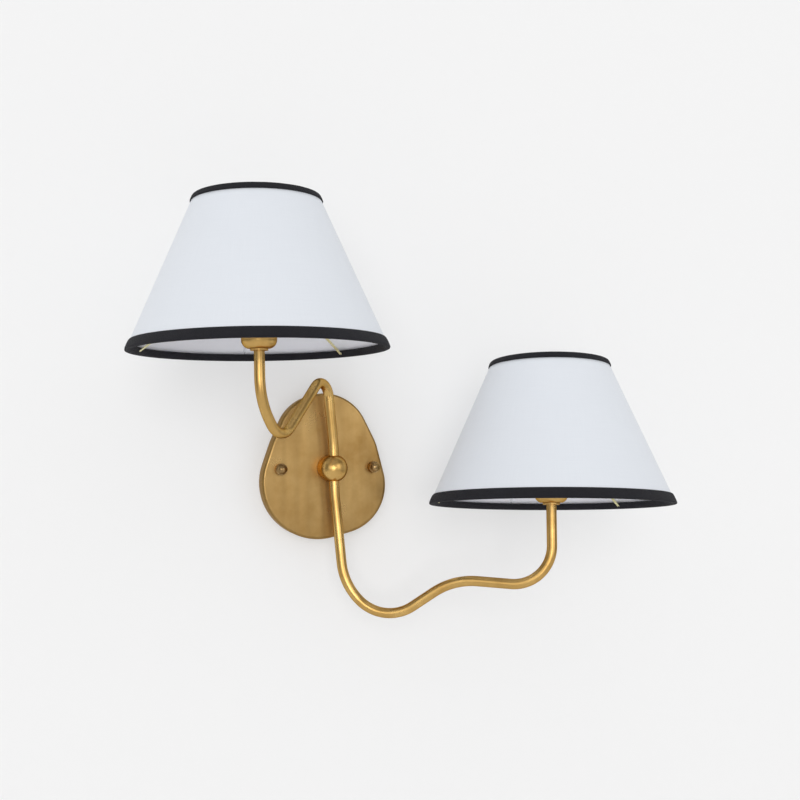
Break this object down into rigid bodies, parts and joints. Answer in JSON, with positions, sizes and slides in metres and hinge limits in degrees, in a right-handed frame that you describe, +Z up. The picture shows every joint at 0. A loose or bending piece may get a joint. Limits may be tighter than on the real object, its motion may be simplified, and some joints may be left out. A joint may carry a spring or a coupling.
{
  "type": "double arm wall sconce",
  "caption": "Wall sconce with a pebble-shaped brass backplate, wavy tube arms at different heights and white cone shades bound in black.",
  "frame": {"origin": "middle of the wall bracket's two screw slots, on the wall", "axes": "+Y into the wall, +Z up, +X to the right of someone facing the wall"},
  "size_m": [0.5009, 0.2523, 0.385],
  "materials": {
    "aged_brass": "satin, aged",
    "bright_brass": "polished",
    "dark_brass": "antique, knurled",
    "pale_brass": "satin wire",
    "zinc_steel": "zinc plated",
    "earth_green": "green dyed zinc",
    "black_phenolic": "moulded",
    "splice_cap": "moulded",
    "lead_black": "insulated wire",
    "lead_white": "insulated wire",
    "shade_white": "woven cloth on a stiff liner",
    "trim_black": "woven binding",
    "contact_brass": "bright"
  },
  "bodies": {
    "fixture": {"backplate": "aged_brass", "hub": "bright_brass", "hub_nipple": "zinc_steel", "nipple_washer": "zinc_steel", "nipple_nut": "zinc_steel", "wall_bracket": "zinc_steel", "bracket_studs": "zinc_steel", "stud_nuts": "zinc_steel", "ground_screw": "earth_green", "upper_arm": "bright_brass", "lower_arm": "bright_brass", "upper_lead": "lead_black", "lower_lead": "lead_white", "wire_connectors": "splice_cap", "left_seat_ring": "bright_brass", "left_socket_cup": "bright_brass", "left_lampholder": "black_phenolic", "left_screw_shell": "contact_brass", "left_centre_contact": "contact_brass", "right_seat_ring": "bright_brass", "right_socket_cup": "bright_brass", "right_lampholder": "black_phenolic", "right_screw_shell": "contact_brass", "right_centre_contact": "contact_brass"},
    "left_shade": {"left_fitter_ring": "pale_brass", "left_spider_arms": "pale_brass", "left_bottom_wire": "pale_brass", "left_top_wire": "pale_brass", "left_shade_cone": "shade_white", "left_bottom_trim": "trim_black", "left_top_trim": "trim_black"},
    "left_clamp": {"left_shade_ring": "black_phenolic"},
    "left_nut": {"left_thumb_nut": "dark_brass"},
    "right_shade": {"right_fitter_ring": "pale_brass", "right_spider_arms": "pale_brass", "right_bottom_wire": "pale_brass", "right_top_wire": "pale_brass", "right_shade_cone": "shade_white", "right_bottom_trim": "trim_black", "right_top_trim": "trim_black"},
    "right_clamp": {"right_shade_ring": "black_phenolic"},
    "right_nut": {"right_thumb_nut": "dark_brass"}
  },
  "joints": [
    {"name": "left_shade_turn", "type": "hinge", "parent": "fixture", "child": "left_shade", "pos_m": [-0.079, -0.138, 0.1693], "axis": [0, 0, 1], "continuous": true},
    {"name": "left_ring_turn", "type": "hinge", "parent": "fixture", "child": "left_clamp", "pos_m": [-0.079, -0.138, 0.1727], "axis": [0, 0, 1], "continuous": true},
    {"name": "left_nut_turn", "type": "hinge", "parent": "fixture", "child": "left_nut", "pos_m": [-0.046, -0.03, 0], "axis": [0, -1, 0], "continuous": true},
    {"name": "right_shade_turn", "type": "hinge", "parent": "fixture", "child": "right_shade", "pos_m": [0.19657, -0.12228, 0.02536], "axis": [0.0498, 0.0899, 0.9947], "continuous": true},
    {"name": "right_ring_turn", "type": "hinge", "parent": "fixture", "child": "right_clamp", "pos_m": [0.19674, -0.12198, 0.02874], "axis": [0.0498, 0.0899, 0.9947], "continuous": true},
    {"name": "right_nut_turn", "type": "hinge", "parent": "fixture", "child": "right_nut", "pos_m": [0.046, -0.03, 0], "axis": [0, -1, 0], "continuous": true}
  ]
}
